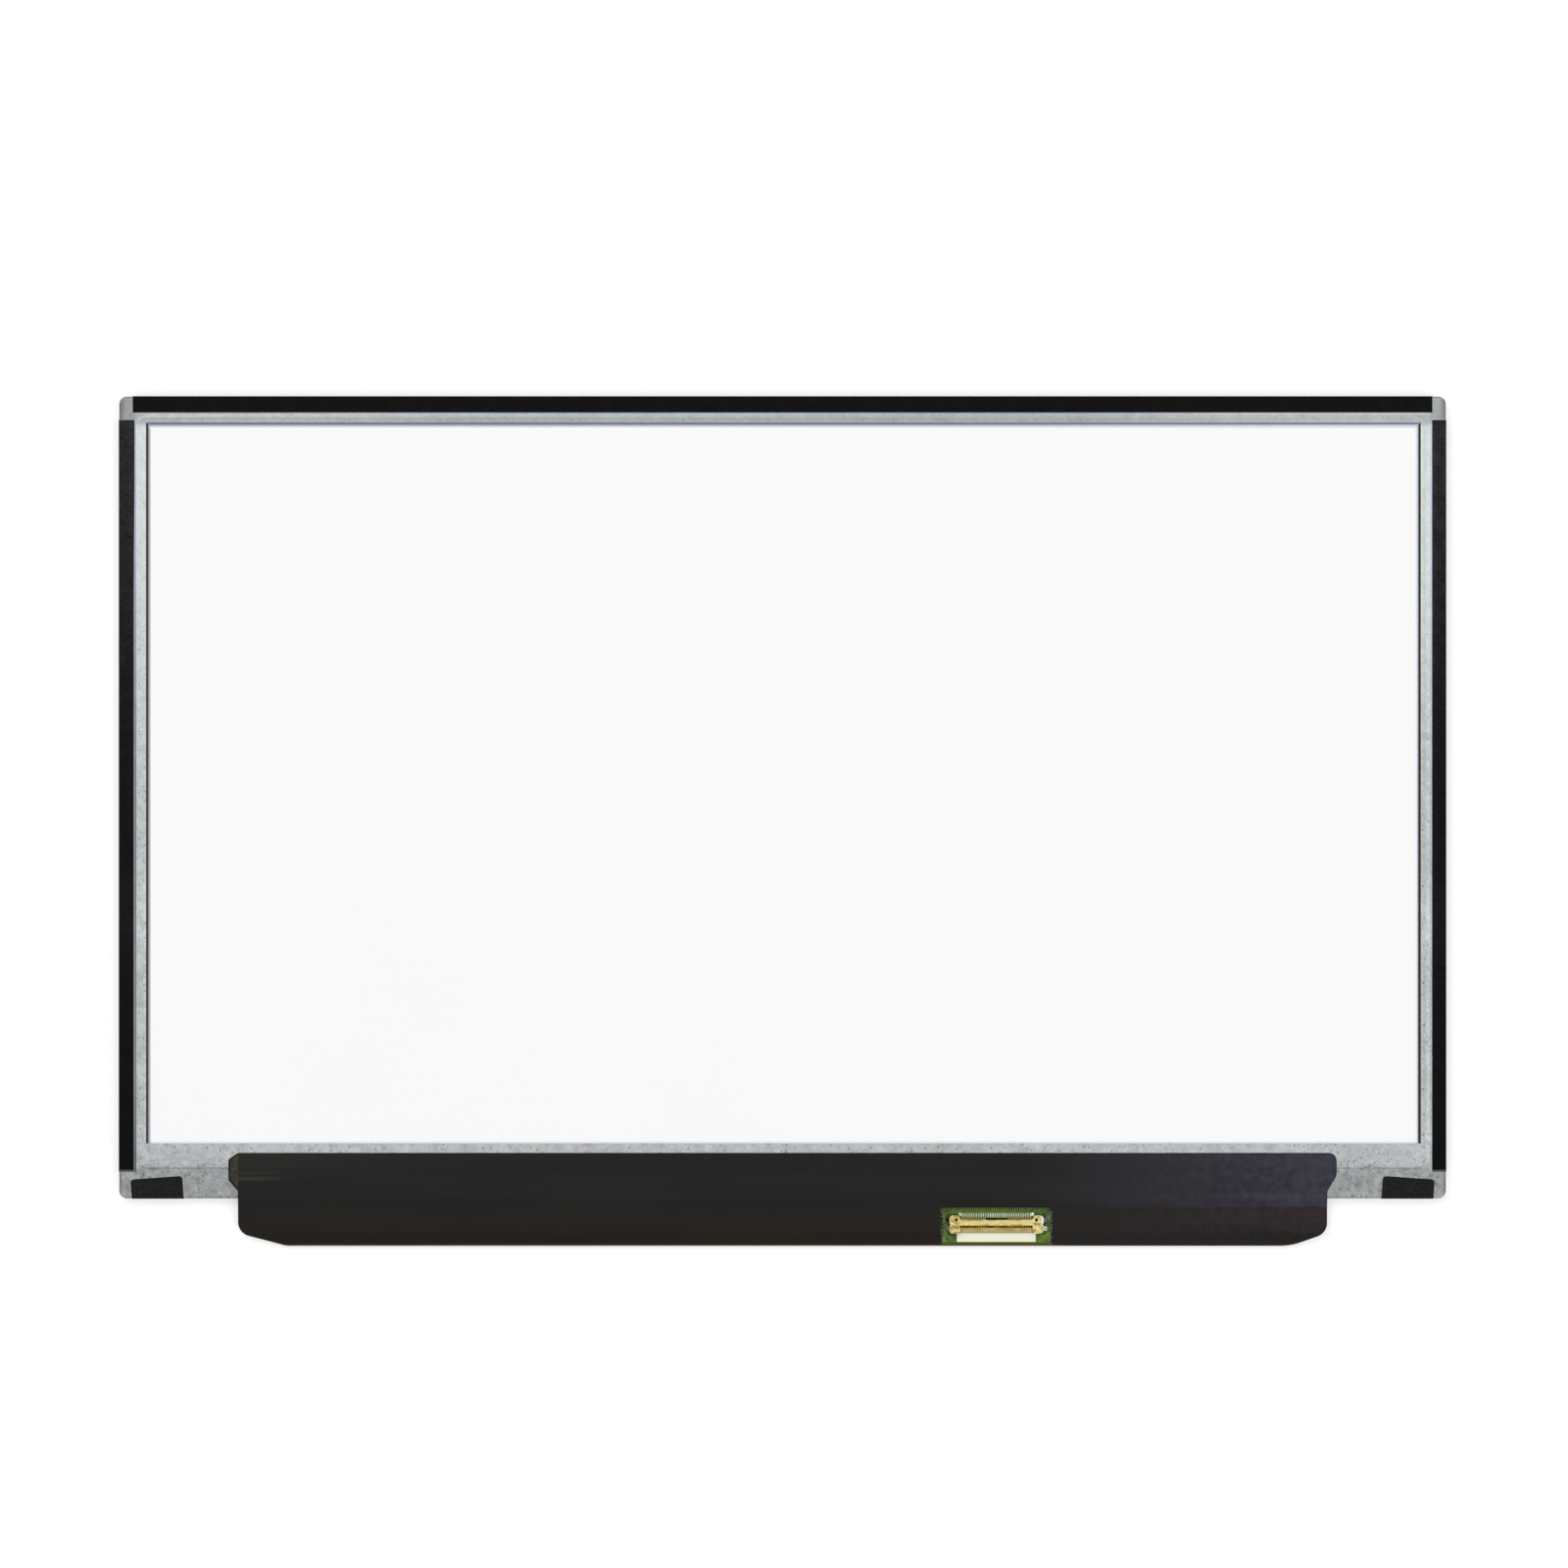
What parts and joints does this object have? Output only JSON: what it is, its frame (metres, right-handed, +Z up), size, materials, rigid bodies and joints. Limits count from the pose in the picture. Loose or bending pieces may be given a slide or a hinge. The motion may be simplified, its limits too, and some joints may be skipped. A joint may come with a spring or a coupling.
{
  "type": "laptop screen panel",
  "caption": "Bare laptop display module lying face down: steel-framed back with a white reflector window, black edge tapes and a film-covered board with an edge socket",
  "frame": {"origin": "centre of the panel's outline on the surface it lies on, which its screen face touches", "axes": "+X along the long side to the right as the back is seen, +Y towards the top edge, +Z up out of the back"},
  "size_m": [0.283, 0.1812, 0.003],
  "materials": {
    "polarizer": "anti-glare satin film, nearly black",
    "glass": "clear display glass",
    "tape": "matte black tape",
    "mould": "white moulded plastic",
    "light_sheet": "clear to milky film",
    "reflector": "bright white film",
    "flex": "amber flexible film",
    "lamp": "white lamp body with yellow face",
    "steel": "galvanised sheet steel with fine spangle",
    "cover": "black satin film",
    "board": "green solder mask",
    "chip": "black chip body",
    "housing": "dark moulded plastic",
    "gold": "gold plate",
    "label": "bare white",
    "coil": "dark grey",
    "capacitor": "tan",
    "resistor": "black with white ends"
  },
  "bodies": {
    "root": {"front_polarizer": "polarizer", "rear_polarizer": "polarizer", "colour_filter_glass": "glass", "array_glass": "glass", "cell_tape": "tape", "top_tape": "tape", "left_tape": "tape", "right_tape": "tape", "left_corner_tape": "tape", "right_corner_tape": "tape", "driver_cover_tape": "tape", "mould_frame": "mould", "upper_prism_sheet": "light_sheet", "lower_prism_sheet": "light_sheet", "diffuser_sheet": "light_sheet", "light_guide": "light_sheet", "reflector_sheet": "reflector", "led_flex": "flex", "driver_films": "flex", "leds": "lamp", "rear_frame": "steel", "cover_film": "cover", "circuit_board": "board", "driver_chips": "chip", "timing_chip": "chip", "power_chip": "chip", "lamp_driver_chip": "chip", "memory_chip": "chip", "connector_housing": "housing", "connector_shell": "gold", "connector_contacts": "gold", "blank_label": "label", "inductors": "coil", "capacitors": "capacitor", "resistors": "resistor"}
  },
  "joints": []
}
